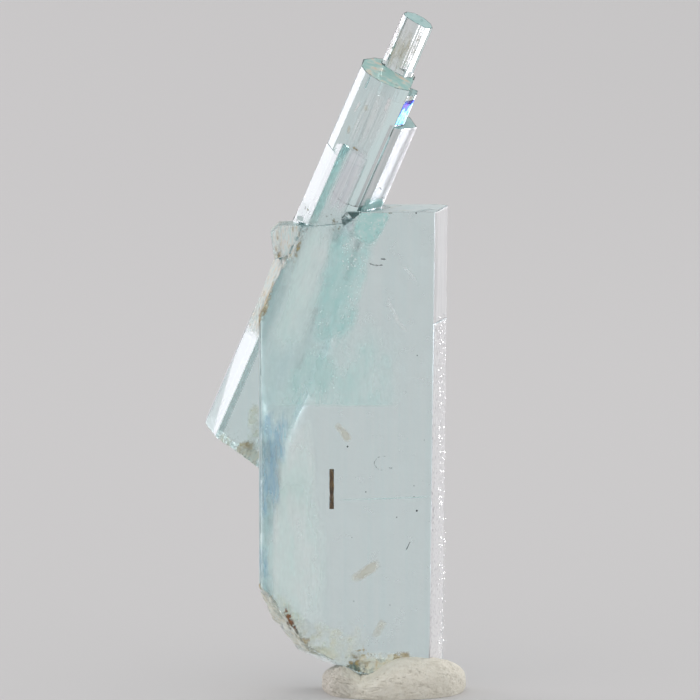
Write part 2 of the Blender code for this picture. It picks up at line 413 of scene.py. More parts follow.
ROOT_OUTLINE = [(1.06, -0.42), (-0.09, 1.52), (-0.14, 3.30), (0.70, 4.75), (5.60, 4.80),
                (6.30, 3.30), (6.10, 0.60), (3.40, -0.40)]
LAYER_OUTLINE = [(1.06, -0.42), (-0.09, 1.52), (0.80, 2.20), (3.30, 0.60), (3.22, -0.36)]
prisms = [
    # name, section as (across, behind) in mm, low and high end along the bundle
    ("main", [(0.46, 0.66), (-0.04, 1.55), (-0.12, 3.20), (0.60, 4.60), (1.45, 5.35),
              (3.30, 5.50), (4.02, 4.20), (4.05, 0.70), (3.05, 0.02), (1.60, 0.00)],
     -20.2, 13.02),
    ("root", ROOT_OUTLINE, -20.9, -9.0),
    ("root_shoulder", ROOT_OUTLINE, -9.2, -0.6),
    ("right", [(3.80, 0.61), (3.70, 4.10), (4.86, 4.30), (5.66, 2.80), (4.66, 0.93)],
     -19.9, 9.90),
    ("sliver", [(3.90, 0.80), (3.80, 3.00), (4.62, 3.10), (4.67, 2.08), (4.06, 0.86)],
     4.0, 12.50),
    ("layer", LAYER_OUTLINE, -20.6, 6.3),
    ("layer_end", LAYER_OUTLINE, 6.2, 7.30),
    ("tip", [(1.50, 3.90), (1.25, 4.38), (1.44, 5.10), (2.05, 5.56), (2.85, 5.36),
             (3.50, 4.75), (3.76, 3.88), (3.27, 3.26), (2.30, 3.52)], 10.82, 17.25),
]
bundle, *others = [
    column(name, outline, low, high, 3.7 * number, depth=0.008, width=0.5, place=bundle_place)
    for number, (name, outline, low, high) in enumerate(prisms, 1)
]
strip_way = bundle_way(0.88, -0.47, 0.0)  # out of the right prism's lined face
for prism in others:
    if prism.name.startswith("root_shoulder"):
        reshaped(prism, root_shoulder)
    if prism.name.startswith("layer_end"):
        reshaped(prism, layer_end)
    if prism.name.startswith("right"):
        for face in prism.data.polygons:
            if face.normal.dot(strip_way) > 0.9:
                face.material_index = LINED
tear_place = bundle_place @ (Vector((1.6, 1.8, -18.75)) * MM) / MM
tear_slope = bundle_way(-0.24, -0.12, -1.0)
tear = fracture("bundle_foot", tear_place, tear_slope, 5.6, 5.0, 0.22, 0.05, 35.2)
joined(bundle, [("UNION", other) for other in others] + [("DIFFERENCE", tear)])

crystals = column("crystals", slab_outline(), SLAB_FOOT, SLAB_TOP, 41.0, depth=0.016)
for face in crystals.data.polygons:
    if face.normal.y > 0.5 or face.normal.x < -0.5:
        face.material_index = SATIN  # on the back and the left side
lean_slab(crystals.data)
chip = column("chip", [(-9.35, 35.45), (-8.70, 36.02), (-6.90, 36.02), (-7.20, 34.0),
                       (-9.05, 33.4)], -0.35, 2.55, 5.0, depth=0.03, width=0.6)
chip.data.transform(Matrix.Rotation(math.radians(90.0), 4, "X"))
cuts = [("DIFFERENCE", cut) for cut in lower_breaks() + upper_breaks() + [etch_block()]]
joined(crystals, cuts + [("UNION", chip), ("UNION", bundle)])


def shader_for(name, colour, roughness, **more):
    """A new material of one colour and roughness, its node tree and its shader."""
    material = bpy.data.materials.new(name)
    material.use_nodes = True
    shader = material.node_tree.nodes["Principled BSDF"]
    shader.inputs["Base Color"].default_value = (*colour, 1.0)
    shader.inputs["Roughness"].default_value = roughness
    for key, value in more.items():
        shader.inputs[key.replace("_", " ")].default_value = value
    return material, material.node_tree, shader


def between(tree, value, start, end, low=0.0, high=1.0, soft=True):
    """Turns a value from start..end to low..high, and eases it in and out if it is soft."""
    return add_node(tree, "ShaderNodeMapRange", {
        "Value": value, "From Min": start, "From Max": end, "To Min": low, "To Max": high,
    }, interpolation_type="SMOOTHSTEP" if soft else "LINEAR").outputs[0]


def noise_at(tree, place, scale, detail, roughness):
    return add_node(tree, "ShaderNodeTexNoise", {
        "Vector": place, "Scale": scale, "Detail": detail, "Roughness": roughness,
    }).outputs["Fac"]


def face_value(tree, name, output="Fac"):
    """What an attribute of the mesh holds there."""
    return add_node(tree, "ShaderNodeAttribute", attribute_name=name).outputs[output]


def colour_steps(tree, value, steps):
    """A colour that follows a value through (value, colour) steps."""
    ramp = add_node(tree, "ShaderNodeValToRGB", {"Fac": value})
    elements = ramp.color_ramp.elements
    while len(elements) < len(steps):
        elements.new(0.5)
    for element, (where, colour) in zip(elements, steps):
        element.position = where
        element.color = (*colour, 1.0)
    return ramp.outputs["Color"]


def glass_material():
    """Clear pale beryl: plain transmission and absorption, with a grain on torn faces."""
    material, tree, shader = shader_for(
        "aquamarine", (0.8, 0.8, 0.8), 0.5, Transmission_Weight=1.0, IOR=BERYL_IOR)
    place = add_node(tree, "ShaderNodeTexCoord").outputs["Object"]
    parts = add_node(tree, "ShaderNodeSeparateXYZ", {0: place}).outputs

    def eased(value, start, end, high=1.0):
        return between(tree, value, start * MM, end * MM, high=high)

    def product(made, *factors):
        for factor in factors:
            made = maths(tree, "MULTIPLY", made, factor)
        return made

    drawn = vector_maths(tree, "MULTIPLY", place, (1.0, 0.25, 0.025))
    streaks = noise_at(tree, drawn, 1500.0, 5.0, 0.68)
    tint = colour_steps(tree, streaks, [(0.36, (0.945, 0.975, 0.978)), (0.58, (1.0, 1.0, 1.0))])
    tree.links.new(tint, shader.inputs["Base Color"])
    cloud = between(tree, noise_at(tree, place, 900.0, 5.0, 0.6), 0.3, 0.7, 0.5, 1.5, soft=False)
    rough = product(face_value(tree, "haze"), cloud)
    # What stands out behind the slab, up to the slab's top.
    hidden = product(eased(parts["Y"], 2.3, 2.9), eased(parts["Z"], 38.0, 35.5, SATIN_BEHIND))
    # The slab's front where the bundle runs behind it, and beside its left edge.
    bundle_right = bundle_way(1.0, 0.0, 0.0)
    across = vector_maths(tree, "DOT_PRODUCT", place, bundle_right)
    edge = bundle_right.dot(BUNDLE_PLACE) / MM
    below_end = (parts["Z"], 37.4, 36.2)
    before_bundle = product(
        eased(across, edge - 0.4, edge + 0.6), eased(across, edge + 6.9, edge + 5.3),
        eased(parts["Y"], -1.4, -1.9), eased(parts["Z"], 17.0, 24.0, FROST_BEFORE),
        eased(*below_end),
    )
    beside_edge = product(eased(parts["X"], -6.9, -8.4, FROST_LEFT), eased(*below_end),
                          eased(parts["Y"], 1.0, -0.6))
    for dulled in (hidden, before_bundle, beside_edge):
        rough = maths(tree, "MAXIMUM", rough, dulled)
    tree.links.new(rough, shader.inputs["Roughness"])
    bump = add_node(tree, "ShaderNodeBump", {
        "Height": noise_at(tree, place, 2600.0, 4.0, 0.65),
        "Strength": face_value(tree, "grain"), "Distance": 0.06 * MM,
    })
    tree.links.new(bump.outputs[0], shader.inputs["Normal"])
    volume = add_node(tree, "ShaderNodeVolumeAbsorption", {
        "Color": (0.29, 0.845, 0.860, 1.0), "Density": 48.0,
    })
    tree.links.new(volume.outputs[0], tree.nodes["Material Output"].inputs["Volume"])
    return material


def finish_surfaces(thing, material):
    """Turns the marks on the faces into haze and grain, and gives all one clear material."""
    mesh = thing.data
    kinds = np.zeros(len(mesh.polygons), dtype=np.int32)
    mesh.polygons.foreach_get("material_index", kinds)
    lookup = np.array([marks.index(mark) for mark in mesh.materials])
    kinds = lookup[kinds]
    mesh.materials.clear()
    mesh.materials.append(material)
    mesh.polygons.foreach_set("material_index", np.zeros_like(kinds))
    mesh.polygons.foreach_set("use_smooth", kinds == FRACTURE)
    for label, values in zip(("haze", "grain"), zip(*SURFACES.values())):
        layer = mesh.attributes.new(label, "FLOAT", "FACE")
        layer.data.foreach_set("value", np.array(values, dtype=np.float32)[kinds])
    mesh.update()


finish_surfaces(crystals, glass_material())
crystals.name = "aquamarine_crystal_group"
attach(crystals, "root")
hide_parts("aquamarine_crystals")


# ---------------------------------------------------------------------------------------
# The end faces: flat terminations across the prisms, etched to a cloudy blue-green skin
# that iron has tinted orange in places, and paler on the slab. Each skin is a thin patchy
# coat, laid on the crystal's face a few microns off it.
crystal_tree = BVHTree.FromPolygons(
    [vert.co for vert in crystals.data.vertices],
    [tuple(face.vertices) for face in crystals.data.polygons],
)
SLAB_TURN = Matrix.Rotation(SLAB_LEAN, 4, "X")
COAT_THICKNESS = 0.004
RAGGED = 3.0  # how far a coat's rim wanders
COAT_GAP = 0.006  # between the crystal and the lowest coat on it


def in_slab(x, z, depth):
    """A point inside the slab, in metres, from mm across, up and behind its front face."""
    return SLAB_TURN @ (Vector((x, SLAB_BOX[2] + depth, z)) * MM)


def slab_way(across, behind, up):
    """A direction given in the slab's own frame."""
    return SLAB_TURN.to_3x3() @ Vector((across, behind, up))


def noise_value(tree, scale, detail=4.0, stretch=(1.0, 1.0, 1.0), roughness=0.6, own=None):
    """A noise over Object coordinates, or over the piece's own `own` attribute."""
    if own:
        place = face_value(tree, own, "Vector")
    else:
        place = add_node(tree, "ShaderNodeTexCoord").outputs["Object"]
    moved = vector_maths(tree, "MULTIPLY", place, stretch)
    return noise_at(tree, moved, scale, detail, roughness)


def coat_material(name, steps, scale, cover, strength, roughness=0.5, stretch=(1, 1, 1), **more):
    """A patchy coat: its colour follows a noise, and it thins out by noise and by fade."""
    material, tree, shader = shader_for(name, steps[0][1], roughness, **more)
    value = noise_value(tree, scale, stretch=stretch, own="lie")
    tint = between(tree, value, 0.3, 0.7, soft=False)
    tree.links.new(colour_steps(tree, tint, steps), shader.inputs["Base Color"])
    fade = face_value(tree, "fade")
    patch = noise_value(tree, scale * 0.63, stretch=stretch, own="lie")
    uneven = maths(tree, "MULTIPLY_ADD", patch, RAGGED, -0.5 * RAGGED)
    ragged = maths(tree, "ADD", uneven, fade)
    thin = between(tree, ragged, cover[0], cover[1], high=strength)
    rim = between(tree, fade, 0.0, 0.4, soft=False)
    tree.links.new(maths(tree, "MULTIPLY", thin, rim), shader.inputs["Alpha"])
    return material


def in_the_stone(piece):
    """Fixes a finished piece to the crystals, which stand on the root body."""
    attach(piece, "root")


def sheet_from(name, rows, material, thickness, fade_of):
    """A thin closed plate through a grid of points; None leaves a hole."""
    bm = bmesh.new()
    layer = bm.verts.layers.float.new("fade")
    lie = bm.verts.layers.float_vector.new("lie")
    step_across, step_up = usual_steps(rows)
    made = []
    for j, row in enumerate(rows):
        line = []
        for i, spot in enumerate(row):
            vert = None if spot is None else bm.verts.new(spot / MM)
            if vert is not None:
                vert[layer] = fade_of(i / (len(row) - 1), j / (len(rows) - 1))
                vert[lie] = Vector((i * step_across, j * step_up, 0.013 * len(name)))
            line.append(vert)
        made.append(line)
    limit = 4.0 * max(step_across, step_up) / MM
    for low, high in zip(made, made[1:]):
        for corners in zip(low, low[1:], high[1:], high):
            if None in corners:
                continue
            if max((a.co - b.co).length for a in corners for b in corners) < limit:
                bm.faces.new(corners)
    loose = [vert for vert in bm.verts if not vert.link_faces]
    bmesh.ops.delete(bm, geom=loose, context="VERTS")
    bmesh.ops.solidify(bm, geom=list(bm.faces), thickness=thickness)
    bmesh.ops.recalc_face_normals(bm, faces=bm.faces)
    bmesh.ops.scale(bm, vec=(MM, MM, MM), verts=bm.verts)
    piece = object_from(bm, name)
    piece.data.materials.append(material)
    piece.data.polygons.foreach_set("use_smooth", [True] * len(piece.data.polygons))
    in_the_stone(piece)


def usual_steps(rows):
    """The middle distances between neighbours, across and up a grid of points."""
    across, up = [], []
    for low, high in zip(rows, rows[1:]):
        for first, beside, above in zip(low, low[1:], high):
            if None not in (first, beside, above):
                across.append((first - beside).length)
                up.append((first - above).length)
    return sorted(across)[len(across) // 2], sorted(up)[len(up) // 2]


def round_fade(across, up):
    """1 in the middle of a sheet, 0 at its rim."""
    return max(0.0, 1.0 - (2.0 * across - 1.0) ** 2) * max(0.0, 1.0 - (2.0 * up - 1.0) ** 2)


def coat(name, at, facing, up, size, cell, material, gap=COAT_GAP, reach=1.4,
         fade_of=round_fade, least=0.2):
    """A thin skin laid on the crystals: a grid cast against `facing` onto their surface."""
    facing, up = Vector(facing).normalized(), Vector(up).normalized()
    side = up.cross(facing).normalized()
    up = facing.cross(side)
    across, tall = (max(2, int(length / cell)) for length in size)
    rows = []
    for j in range(tall + 1):
        row = []
        for i in range(across + 1):
            shift = side * (i / across - 0.5) * size[0] + up * (j / tall - 0.5) * size[1]
            start = Vector(at) + (shift + facing * reach) * MM
            spot, normal, _, _ = crystal_tree.ray_cast(start, -facing, 2.0 * reach * MM)
            seen = spot is not None and normal.dot(facing) > least
            row.append(spot + normal * gap * MM if seen else None)
        rows.append(row)
    sheet_from(name, rows, material, COAT_THICKNESS, fade_of)


def in_bundle(x, z, depth):
    """A point of the bundle, in metres, from mm across, along and behind its front."""
    return bundle_place @ (Vector((x, depth, z)) * MM)


def even_fade(across, up):
    """The same all over, for a coat that covers its face from edge to edge."""
    return 1.0


along_bundle = bundle_way(0.0, 0.0, 1.0)
deeper_bundle = bundle_way(0.0, 1.0, 0.0)
end_coat = coat_material(
    "clouded_end", [(0.0, (0.28, 0.57, 0.54)), (0.5, (0.41, 0.64, 0.60)),
                    (0.74, (0.66, 0.71, 0.64)), (1.0, (0.76, 0.58, 0.40))],
    1300.0, (0.2, 0.8), 0.90, roughness=0.35,
)
clear_end_coat = coat_material(
    "clear_end", [(0.0, (0.36, 0.61, 0.60)), (1.0, (0.53, 0.73, 0.72))],
    1600.0, (0.2, 0.8), 0.84, roughness=0.25,
)
bundle_ends = [
    # name, (across, along, behind) in mm, size in mm, cell in mm, finish
    ("end_of_main_prism", (1.95, 13.02, 2.75), (4.6, 5.9), 0.11, end_coat),
    ("end_of_tip_prism", (2.5, 17.25, 4.4), (2.9, 2.9), 0.08, clear_end_coat),
    ("end_of_right_prism", (4.8, 9.90, 2.55), (2.0, 3.8), 0.08, clear_end_coat),
    ("end_of_sliver", (4.35, 12.50, 2.0), (0.8, 2.5), 0.05, clear_end_coat),
]
for name, place, size, cell, finish in bundle_ends:
    coat(name, in_bundle(*place), along_bundle, deeper_bundle, size, cell, finish,
         fade_of=even_fade)
slab_end_coat = coat_material(
    "slab_end", [(0.0, (0.72, 0.84, 0.86)), (0.7, (0.80, 0.87, 0.87)),
                 (1.0, (0.78, 0.80, 0.72))],
    900.0, (0.2, 0.9), 0.74, roughness=0.3,
)
coat("end_of_slab", in_slab(1.15, SLAB_TOP, 2.25), slab_way(0.0, 0.0, 1.0),
     slab_way(0.0, 1.0, 0.0), (6.0, 4.8), 0.12, slab_end_coat, fade_of=even_fade)


# ---------------------------------------------------------------------------------------
# Stains, crusts and zones: brown and ochre iron oxide dried onto the torn places, a pale
# crust beside the bundle, and milky, blue and blue-green zones in the front of the slab.
# A pale film over the foot is painted light over the shade there. All are thin patchy coats.
# Those that overlap lie at different heights over the face.
FRONT = slab_way(0.0, -1.0, 0.0)
UP = (0.0, 0.0, 1.0)
tan_coat = coat_material(
    "tan_stain", [(0.0, (0.80, 0.77, 0.62)), (0.45, (0.66, 0.58, 0.38)),
                  (0.75, (0.44, 0.33, 0.16)), (1.0, (0.24, 0.14, 0.05))],
    3000.0, (0.2, 1.0), 0.62, roughness=0.6,
)
ochre_coat = coat_material(
    "ochre_stain", [(0.0, (0.66, 0.60, 0.36)), (0.5, (0.46, 0.36, 0.15)),
                    (1.0, (0.16, 0.09, 0.025))],
    4600.0, (0.75, 1.35), 0.76, roughness=0.6,
)
brown_coat = coat_material(
    "brown_stain", [(0.0, (0.40, 0.20, 0.09)), (1.0, (0.17, 0.07, 0.03))],
    3800.0, (0.35, 0.95), 0.85, roughness=0.6,
)
# A pale crust, also used for one painted highlight on the bundle.
crust_and_highlight_coat = coat_material(
    "pale_crust_and_painted_highlight", [(0.0, (0.76, 0.96, 0.93)), (0.5, (0.96, 1.0, 0.99)),
                   (0.76, (0.92, 0.91, 0.82)), (0.91, (0.54, 0.42, 0.25)),
                   (1.0, (0.26, 0.16, 0.07))],
    4200.0, (-0.4, 1.1), 0.80, roughness=0.8, stretch=(1.6, 0.35, 1.0),
)
# A cream film on the torn places, also used as painted light over the shaded foot.
cream_and_painted_light_coat = coat_material(
    "cream_film_and_painted_light", [(0.0, (0.90, 0.98, 0.93)), (0.7, (0.92, 0.92, 0.80)),
                   (1.0, (0.76, 0.66, 0.44))],
    2200.0, (0.0, 0.8), 0.72, roughness=0.5,
)
white_film = coat_material(
    "white_film", [(0.0, (0.82, 0.96, 0.93)), (0.6, (0.94, 0.95, 0.89)),
                   (1.0, (0.76, 0.68, 0.50))],
    2600.0, (-0.6, 0.7), 0.84, roughness=0.6, stretch=(1.0, 0.4, 1.0),
)
grey_film = coat_material(
    "grey_film", [(0.0, (0.56, 0.72, 0.70)), (0.45, (0.72, 0.79, 0.75)),
                  (0.7, (0.78, 0.76, 0.66)), (1.0, (0.56, 0.46, 0.28))],
    3400.0, (-0.6, 0.9), 0.80, roughness=0.6, stretch=(1.0, 0.45, 1.0),
)
milky_coat = coat_material(
    "milky_film", [(0.0, (0.80, 0.99, 0.96)), (1.0, (0.94, 1.0, 0.99))],
    800.0, (-0.4, 1.6), 0.60, roughness=0.5, stretch=(1.0, 0.3, 1.0),
)
contact_coat = coat_material(
    "blue_green_contact", [(0.0, (0.50, 0.84, 0.82)), (1.0, (0.74, 0.94, 0.93))],
    1100.0, (-0.4, 1.2), 0.64, roughness=0.4, stretch=(1.0, 0.5, 1.0),
)
teal_haze = coat_material(
    "blue_green_haze", [(0.0, (0.60, 0.88, 0.86)), (1.0, (0.78, 0.95, 0.94))],
    900.0, (-0.4, 1.5), 0.46, roughness=0.5, stretch=(1.0, 0.35, 1.0),
)
contact_crust = coat_material(
    "blue_green_crust", [(0.0, (0.48, 0.82, 0.80)), (0.7, (0.63, 0.89, 0.87)),
                         (1.0, (0.84, 0.97, 0.96))],
    2600.0, (-0.6, 0.6), 0.90, roughness=0.4,
)
blue_coat = coat_material(
    "blue_zone", [(0.0, (0.36, 0.59, 0.80)), (0.5, (0.48, 0.72, 0.86)),
                  (1.0, (0.70, 0.90, 0.94))],
    2600.0, (0.0, 1.3), 0.54, roughness=0.4, stretch=(1.3, 0.25, 1.0),
)
yellow_haze = coat_material(
    "yellow_haze", [(0.0, (0.82, 0.90, 0.80)), (1.0, (0.84, 0.82, 0.62))],
    1800.0, (0.1, 1.6), 0.50, roughness=0.6,
)
smear_coat = coat_material(
    "beige_smear", [(0.0, (0.78, 0.77, 0.67)), (1.0, (0.68, 0.65, 0.53))],
    1100.0, (-0.2, 1.3), 0.44, roughness=0.6,
)
# A white coat painted as highlight: bright streaks of light caught on the bundle's front.
painted_highlight_coat = coat_material(
    "painted_white_highlight", [(0.0, (1.0, 1.0, 1.0)), (1.0, (0.92, 0.96, 0.97))],
    2600.0, (-0.1, 0.8), 0.90, roughness=0.4,
)
faint_coat = coat_material(
    "faint_line", [(0.0, (1.0, 1.0, 1.0)), (1.0, (0.86, 0.95, 0.96))],
    2600.0, (0.1, 1.4), 0.34, roughness=0.4,
)
TORN_CORNER = (-0.762, -0.262, -0.591)
UPPER_LEFT = (-0.896, -0.148, 0.418)
ALONG_EDGE = (0.25, 0.0, 0.97)
ALONG_BUNDLE = (0.288, 0.0, 0.957)
GAP_STEPS = 7  # coats in a list go through this many heights over the face
stains = [
    # name, point in mm, facing, way up, size in mm, finish
    ("torn_corner_film", (-8.62, 0.10, 5.60), TORN_CORNER, UP, (6.0, 8.4), cream_and_painted_light_coat),
    ("torn_corner_front", (-7.85, -1.95, 5.7), FRONT, (-0.62, 0.0, 0.78), (2.2, 6.4),
     yellow_haze),
    ("torn_corner_spindle", (-7.95, -1.85, 5.70), FRONT, (-0.28, 0.0, 0.96), (0.75, 2.4),
     brown_coat),
    ("torn_corner_fleck", (-10.1, -1.6, 8.3), (-0.6, -0.8, -0.1), UP, (0.45, 0.7), tan_coat),
    ("torn_corner_edge", (-6.9, -1.9, 4.1), (-0.3, -0.9, -0.3), UP, (1.2, 0.6), tan_coat),
    ("foot_film", (-2.6, -1.85, 2.7), FRONT, UP, (3.4, 2.9), ochre_coat),
    ("foot_film_right", (0.6, -1.85, 2.9), FRONT, UP, (1.6, 1.0), tan_coat),
    ("foot_film_left", (-5.6, -1.85, 3.3), FRONT, UP, (2.0, 0.9), yellow_haze),
    ("foot_haze", (-4.9, -1.85, 3.5), FRONT, UP, (6.0, 4.6), yellow_haze),
    ("upper_left_film", (-9.30, 0.4, 31.7), UPPER_LEFT, UP, (6.4, 9.6), grey_film),
    ("upper_left_tan", (-9.75, -2.2, 29.9), (-0.6, -0.8, 0.2), ALONG_EDGE, (0.8, 4.4), tan_coat),
    ("upper_left_rim", (-9.20, -2.6, 31.7), FRONT, ALONG_EDGE, (0.45, 6.2), tan_coat),
    ("shoulder_crust", (-7.95, -2.65, 34.9), FRONT, UP, (2.1, 3.2), crust_and_highlight_coat),
    ("shoulder_rim", (-7.25, -2.65, 34.3), FRONT, (0.3, 0.0, 0.95), (0.5, 3.8), ochre_coat),
    ("chip_film", (-8.8, -2.55, 35.1), FRONT, UP, (2.0, 2.6), crust_and_highlight_coat),
    ("chip_foot_film", (-8.5, -2.0, 33.5), (-0.5, -0.8, -0.3), UP, (1.4, 1.3), white_film),
    ("bundle_foot_film", (-10.75, 3.2, 20.4), (0.1, -0.95, -0.1), UP, (1.3, 5.6), yellow_haze),
    ("bundle_foot_tan", (-11.5, 3.6, 19.0), (0.1, -0.9, -0.3), UP, (1.6, 1.4), tan_coat),
    ("bundle_foot_end", (-12.2, 4.4, 18.2), (-0.3, -0.25, -0.9), FRONT, (6.0, 6.0), cream_and_painted_light_coat),
    ("top_edge_stain", (-0.6, -2.70, 36.95), FRONT, UP, (2.2, 0.45), ochre_coat),
    ("milky_beside_bundle", (-7.1, -2.0, 31.3), FRONT, ALONG_BUNDLE, (3.6, 12.0), milky_coat),
    ("milky_left_side", (-8.0, -2.0, 17.6), FRONT, UP, (4.6, 9.0), milky_coat),
    ("milky_lower_left", (-7.5, -2.0, 11.0), FRONT, UP, (5.2, 13.0), milky_coat),
    ("blue_patch_high", (-9.15, -2.0, 19.9), FRONT, UP, (2.7, 4.6), blue_coat),
    ("blue_patch_low", (-9.45, -2.0, 16.4), FRONT, UP, (1.8, 6.4), blue_coat),
    ("blue_patch_foot", (-9.9, -2.0, 10.2), FRONT, UP, (0.9, 2.8), blue_coat),
    # Painted light: a pale cream film that lifts the shade of the pocket seen through the foot.
    ("foot_pale", (-0.8, -1.95, 2.1), FRONT, UP, (5.0, 2.4), cream_and_painted_light_coat),
    ("contact_patch", (-1.75, -2.0, 36.3), FRONT, (0.45, 0.0, 0.89), (2.3, 3.6), contact_crust),
    ("contact_band", (-4.10, -2.0, 31.4), FRONT, (0.235, 0.0, 0.97), (4.0, 10.0), contact_coat),
    ("contact_tail", (-6.1, -2.0, 24.7), FRONT, (0.30, 0.0, 0.95), (3.6, 4.4), teal_haze),
    ("smudge_high", (-3.88, -2.0, 20.2), FRONT, (-0.62, 0.0, 0.78), (0.75, 1.8), smear_coat),
    ("smudge_middle", (-2.13, -2.0, 9.5), FRONT, (0.85, 0.0, 0.53), (0.9, 2.9), smear_coat),
    ("smudge_low", (-1.14, -2.0, 5.0), FRONT, (0.5, 0.0, 0.87), (0.8, 1.7), smear_coat),
]
for number, (name, place, facing, way_up, size, finish) in enumerate(stains):
    coat(name, Vector(place) * MM, facing, way_up, size, 0.07 if max(size) < 9 else 0.12,
         finish, gap=COAT_GAP + COAT_GAP * (number % GAP_STEPS), reach=2.2)


def zone_fade(across, up):
    """A growth zone: it begins sharply at its lower end and fades out upward and sideways."""
    return min(1.0, up / 0.03) * (1.0 - up) * max(0.0, 1.0 - (2.0 * across - 1.0) ** 4)


coat("upper_zone", in_slab(-4.6, 26.0, 0.0), FRONT, UP, (11.0, 7.6), 0.12, teal_haze, gap=0.050,
     fade_of=zone_fade)


# ---------------------------------------------------------------------------------------
# The slab's narrow faces: the right one and its chamfer are finely lined above and pitted
# below, and the left edge is dull. Each has one thin even coat. The pale coats on the right
# face and chamfer are partly their etching and partly painted sheen, with painted sparkle.
# Partly the faces' own etching, partly painted sheen of the right lamp; the pitted coat's dark and
# white noise is painted sparkle.
lined_face_and_sheen_coat = coat_material(
    "lined_face", [(0.0, (0.84, 0.83, 0.85)), (1.0, (1.0, 0.99, 1.0))],
    5200.0, (-1.2, 0.6), 0.80, roughness=0.3, stretch=(1.0, 0.04, 1.0),
)
pits_and_sparkle_coat = coat_material(
    "pitted_face_and_painted_sparkle", [(0.0, (0.60, 0.59, 0.62)), (0.42, (0.97, 0.96, 0.98)),
                    (1.0, (1.0, 1.0, 1.0))],
    5200.0, (-1.2, 0.5), 0.88, roughness=0.25, stretch=(1.0, 0.6, 1.0),
)
edge_film = coat_material(
    "dull_edge", [(0.0, (0.38, 0.50, 0.51)), (1.0, (0.54, 0.66, 0.66))],
    3000.0, (-1.4, 0.2), 0.86, roughness=0.5, stretch=(1.0, 0.2, 1.0),
)
RIGHT_FACE = (0.970, -0.242, 0.0)
CHAMFER = (0.885, -0.466, 0.0)
LEFT_EDGE = (-0.949, -0.316, 0.0)
narrow_faces = [
    # name, (across, up, behind) in mm, facing, size and cell in mm, finish, gap, least match
    ("right_face_lines", (3.75, 32.9, 2.0), RIGHT_FACE, (3.7, 8.7), 0.10, lined_face_and_sheen_coat, 0.006, 0.2),
    ("right_face_pits", (3.60, 15.2, 2.0), RIGHT_FACE, (3.7, 26.5), 0.10, pits_and_sparkle_coat, 0.006, 0.2),
    ("chamfer_lines", (3.12, 32.9, 0.2), CHAMFER, (0.6, 8.7), 0.08, lined_face_and_sheen_coat, 0.012, 0.93),
    ("chamfer_pits", (2.95, 15.2, 0.2), CHAMFER, (0.6, 26.5), 0.08, pits_and_sparkle_coat, 0.012, 0.93),
    ("left_edge_film", (-10.17, 19.0, 0.24), LEFT_EDGE, (0.8, 24.0), 0.09, edge_film, 0.006, 0.9),
]
for name, place, facing, size, cell, finish, gap, least in narrow_faces:
    coat(name, in_slab(*place), facing, UP, size, cell, finish, gap=gap, fade_of=even_fade,
         least=least)


# ---------------------------------------------------------------------------------------
# Films on the bundle: specks and fine streaks of iron on the tip and the front, painted
# highlights of the lamps on the lined faces of its right prism and on its foot, painted sheen
# on its front layer, and one small face painted blue and violet for light split there.
speckle_coat = coat_material(
    "olive_specks", [(0.0, (0.40, 0.36, 0.18)), (1.0, (0.20, 0.14, 0.06))],
    5200.0, (1.05, 1.5), 0.75, roughness=0.6,
)
streak_coat = coat_material(
    "fine_streaks", [(0.0, (0.56, 0.62, 0.62)), (0.42, (0.76, 0.82, 0.82)),
                     (0.5, (0.95, 0.97, 0.98)), (1.0, (1.0, 1.0, 1.0))],
    5600.0, (-0.2, 1.5), 0.36, roughness=0.35, stretch=(1.0, 0.03, 1.0),
)
tip_coat = coat_material(
    "tan_streaks", [(0.0, (0.28, 0.22, 0.10)), (0.22, (0.60, 0.56, 0.42)),
                    (0.45, (0.74, 0.73, 0.66)), (1.0, (0.90, 0.92, 0.90))],
    3600.0, (0.1, 1.3), 0.55, roughness=0.5, stretch=(1.0, 0.30, 1.0),
)
# Painted highlight: a white-lavender coat standing in for the lamps reflected in the prism faces.
highlight_strip_coat = coat_material(
    "painted_lamp_highlight", [(0.0, (0.94, 0.92, 0.98)), (1.0, (1.0, 0.99, 1.0))],
    4200.0, (-1.5, 0.3), 0.55, roughness=0.3, stretch=(1.0, 0.05, 1.0),
)
# Painted sheen: pale lavender lines that lighten the front layer as the left lamp's light would.
painted_lavender_sheen = coat_material(
    "painted_lavender_sheen", [(0.0, (0.72, 0.75, 0.79)), (0.5, (0.90, 0.90, 0.95)),
                   (1.0, (0.98, 0.97, 1.0))],
    5600.0, (-0.6, 1.2), 0.50, roughness=0.35, stretch=(1.0, 0.03, 1.0),
)
bundle_films = [
    # name, (across, along, behind) in mm, turn about the length in degrees, size, finish
    ("tip_film", (2.35, 14.9, 3.6), 10.0, (2.3, 4.6), tip_coat),
    ("front_film", (2.30, 9.9, 0.0), 0.0, (2.5, 5.8), streak_coat),
    ("layer_film", (2.50, 4.9, -0.4), 0.0, (1.7, 5.6), painted_lavender_sheen),
    ("foot_specks_of_bundle", (2.8, 1.2, -0.4), 0.0, (3.6, 2.2), speckle_coat),
    ("left_foot_specks", (0.5, 1.2, 0.5), -60.0, (1.8, 2.6), speckle_coat),
    ("blue_green_side", (1.40, 3.4, -0.4), 0.0, (0.66, 7.2), contact_coat),
    ("left_foot_strip", (-0.12, -14.6, 2.45), -90.0, (2.1, 11.5), highlight_strip_coat),
]
for number, (name, place, turn, size, finish) in enumerate(bundle_films):
    facing = bundle_place.to_3x3() @ Matrix.Rotation(math.radians(turn), 3, "Z") @ Vector(
        (0.0, -1.0, 0.0))
    coat(name, in_bundle(*place), facing, along_bundle, size, 0.08, finish,
         gap=COAT_GAP + COAT_GAP * (number % GAP_STEPS), reach=1.2)
# Painted sheen: a pale lined coat that lightens the right prism's front, standing in for lamp
# light.
painted_sheen_coat = coat_material(
    "painted_sheen_front", [(0.0, (0.66, 0.74, 0.75)), (0.5, (0.82, 0.86, 0.87)),
                    (1.0, (0.96, 0.97, 0.98))],
    5600.0, (-1.4, 0.2), 0.82, roughness=0.3, stretch=(1.0, 0.03, 1.0),
)
